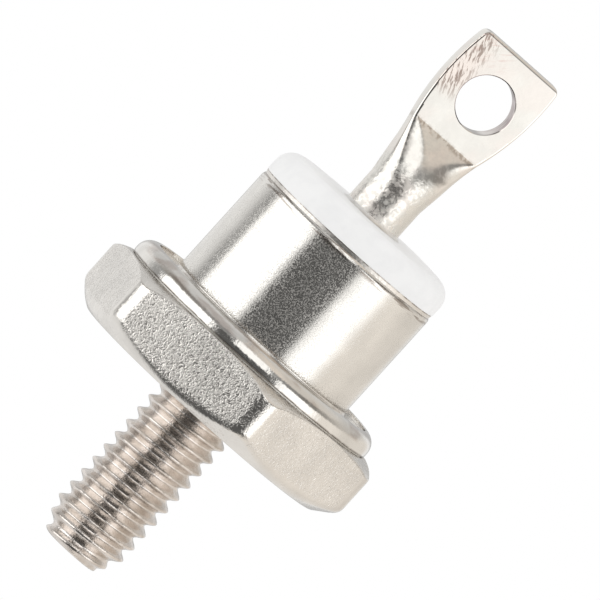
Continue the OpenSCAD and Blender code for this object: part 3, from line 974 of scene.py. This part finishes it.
def tube_terminal(material):
    """Round tube, neck and drilled flat lug in one skin, open at the foot with the tube's bore."""
    sections = terminal_sections()
    round_bore = slab(TUBE_BORE_R, TUBE_BORE_R, TUBE_BORE_R)
    bore = [section(TUBE_BORE_R, round_bore, z) for z in (BORE_END_Z, terminal_low.z)]
    rings = [*bore, *sections]
    verts, faces = skin([[ring[i % len(ring)] for ring in rings] for i in range(len(rings[0]) + 1)])
    cap_verts, cap_faces = skin(lug_end_cap(sections[-1]))
    bore_end = tuple(range(len(cap_verts), len(cap_verts) + len(bore[0])))
    faces += [tuple(len(verts) + i for i in face) for face in (*cap_faces, bore_end)]
    verts += [*cap_verts, *bore[0]]
    sharp = TERMINAL_SHARP_ANGLE
    obj = piece("flattened_tube", "terminal_lug", "nickel_terminal", material, verts, faces, sharp)
    drill(obj, hole_at)
    tidy(obj.data, sharp)
    shade_flat(obj, lambda face: face.center.z > CREASE_Z and abs(face.normal.y) > LUG_FACING)


# Stage.
def ring_stops(stops):
    """Positions from 0 to 1 and colours, from a row of lights."""
    return [((angle + 180) / 360, [level * c for c in tint]) for angle, level, tint in stops]


def lamp(tree, round_angle, height):
    """Mask of the lamp above the camera."""
    across = tree.product(tree.rise(round_angle, LAMP_LEFT), tree.rise(round_angle, LAMP_RIGHT))
    upward = tree.product(tree.rise(height, LAMP_LOW), tree.rise(height, LAMP_HIGH))
    return tree.product(across, upward)


def mirrored_light(tree):
    """What the metal mirrors: a dark gap round the camera between two bright panels, with paler walls and a
    fainter gap behind, other rows of light above and below, and a lamp above the camera."""
    direction = tree.add("TexCoord").outputs["Generated"]
    to_view = tree.add("VectorRotate", {"rotation_type": "Z_AXIS"}, Vector=direction, Angle=-VIEW_AZIMUTH)
    x, y, z = tree.add("SeparateXYZ", Vector=to_view.outputs["Vector"]).outputs
    round_angle = tree.math("ARCTAN2", x, tree.math("MULTIPLY", y, -1.0))
    position = tree.math("MULTIPLY_ADD", round_angle, 0.5 / math.pi, 0.5)
    height = tree.math("ARCSINE", z)
    light = tree.ramp(position, ring_stops(BELT))
    for row, edge in ((SHADE, SHADE_EDGE), (ROOF, ROOF_EDGE), (GROUND, GROUND_EDGE)):
        light = tree.mix(tree.rise(height, edge), light, tree.ramp(position, ring_stops(row)))
    return tree.mix(lamp(tree, round_angle, height), light, shaded(NEUTRAL, LAMP_LEVEL))


def surroundings():
    """Lights for the metal to mirror. Dull surfaces are lit almost evenly from all sides, and the camera
    itself sees plain white."""
    world = bpy.data.worlds.new("studio")
    bpy.context.scene.world = world
    tree = Tree(world)
    path = tree.add("LightPath").outputs
    evenly = tree.math("MULTIPLY_ADD", path["Is Diffuse Ray"], FILL_SHARE, path["Is Camera Ray"])
    studio = tree.add("Background", Color=mirrored_light(tree)).outputs["Background"]
    white = tree.add("Background", Color=WHITE).outputs["Background"]
    shown = tree.add("MixShader", i0=evenly, i1=studio, i2=white).outputs["Shader"]
    tree.add("OutputWorld", Surface=shown)


def floor_white():
    """White glow that is clear from below."""
    material = bpy.data.materials.new("floor_white")
    tree = Tree(material)
    glow = tree.add("Emission", Color=WHITE, Strength=1.0).outputs["Emission"]
    clear = tree.add("BsdfTransparent").outputs["BSDF"]
    below = tree.add("NewGeometry").outputs["Backfacing"]
    shown = tree.add("MixShader", i0=below, i1=glow, i2=clear).outputs["Shader"]
    tree.add("OutputMaterial", Surface=shown)
    return material


def pale_floor():
    """White floor under the stud's tip, which the metal doesn't mirror."""
    s = FLOOR_HALF_SIDE
    corners = [(x, y, STUD_TIP) for x, y in ((-s, -s), (s, -s), (s, s), (-s, s))]
    floor = mesh_object("floor", corners, [(0, 1, 2, 3)])
    floor.data.materials.append(floor_white())
    floor.visible_glossy = False
    floor.visible_diffuse = False


def camera():
    """The photograph's view, rolled so that the stud's axis leans to the right."""
    a, e = VIEW_AZIMUTH, VIEW_ELEVATION
    back = Vector((math.sin(a) * math.cos(e), -math.cos(a) * math.cos(e), math.sin(e)))
    right = Vector((math.cos(a), math.sin(a), 0))
    up = back.cross(right)
    target = Vector((0, 0, VIEW_HEIGHT)) + VIEW_SIDE * right
    leaning_right = right * math.cos(VIEW_LEAN) + up * math.sin(VIEW_LEAN)
    leaning_up = up * math.cos(VIEW_LEAN) - right * math.sin(VIEW_LEAN)
    data = bpy.data.cameras.new("camera")
    data.lens = data.sensor_width * VIEW_DISTANCE / (PHOTO_SIDE / PIXELS_PER_M)
    obj = bpy.data.objects.new("camera", data)
    turn = Matrix((leaning_right, leaning_up, back)).transposed().to_4x4()
    obj.matrix_world = Matrix.Translation(target + back * VIEW_DISTANCE) @ turn
    bpy.context.scene.collection.objects.link(obj)
    bpy.context.scene.camera = obj


forged_base(plate("forged_nickel", FORGED_NICKEL, smooth=0.17, dull=0.38, grain=0.2 * MM, slope=0.1,
                  dress=forging_wear, curl=1.6))
weld_ring(plate("ring_nickel", NICKEL, smooth=0.06, dull=0.16, grain=0.2 * MM, slope=0.025, dress=ring_smears_and_shade))
can(plate("can_nickel", NICKEL, smooth=0.07, dull=0.36, grain=0.08 * MM, slope=0.03, dress=can_shade_and_reflection))
braze_bead(plate("bead_braze", BEAD_BRAZE, smooth=0.3, dull=0.45, grain=0.15 * MM, slope=0.05,
                 dress=bead_edge_shade))
ceramic_disc(ceramic("alumina"))
tube_terminal(plate("terminal_nickel", TERMINAL_NICKEL, smooth=0.14, dull=0.3, grain=0.28 * MM, slope=0.06,
                    dress=terminal_wear_and_shade))
seal(plate("seal_braze", SEAL_BRAZE, smooth=0.3, dull=0.5, grain=0.2 * MM, slope=0.1))

INNER_FINISHES = {
    "braze": inner("inner_braze", (0.66, 0.64, 0.6), metallic=1.0, roughness=0.35),
    "solder": inner("inner_solder", (0.55, 0.56, 0.57), metallic=1.0, roughness=0.4),
    "molybdenum": inner("inner_molybdenum", (0.5, 0.51, 0.53), metallic=1.0, roughness=0.3),
    "silicon": inner("inner_silicon", (0.2, 0.22, 0.26), metallic=0.6, roughness=0.15),
    "silicone": inner("inner_silicone", (0.8, 0.77, 0.72), metallic=0.0, roughness=0.45),
    "bare_copper": inner("inner_copper", (0.72, 0.43, 0.29), metallic=1.0, roughness=0.3),
}
for part in frame["record"]["subparts"]:
    obj = frame["nodes"][part["node"]]
    if not obj.hide_render:
        obj.data.materials.clear()
        obj.data.materials.append(INNER_FINISHES[part["material_slot"]])

surroundings()
pale_floor()
camera()
bpy.context.scene.view_settings.view_transform = "Standard"
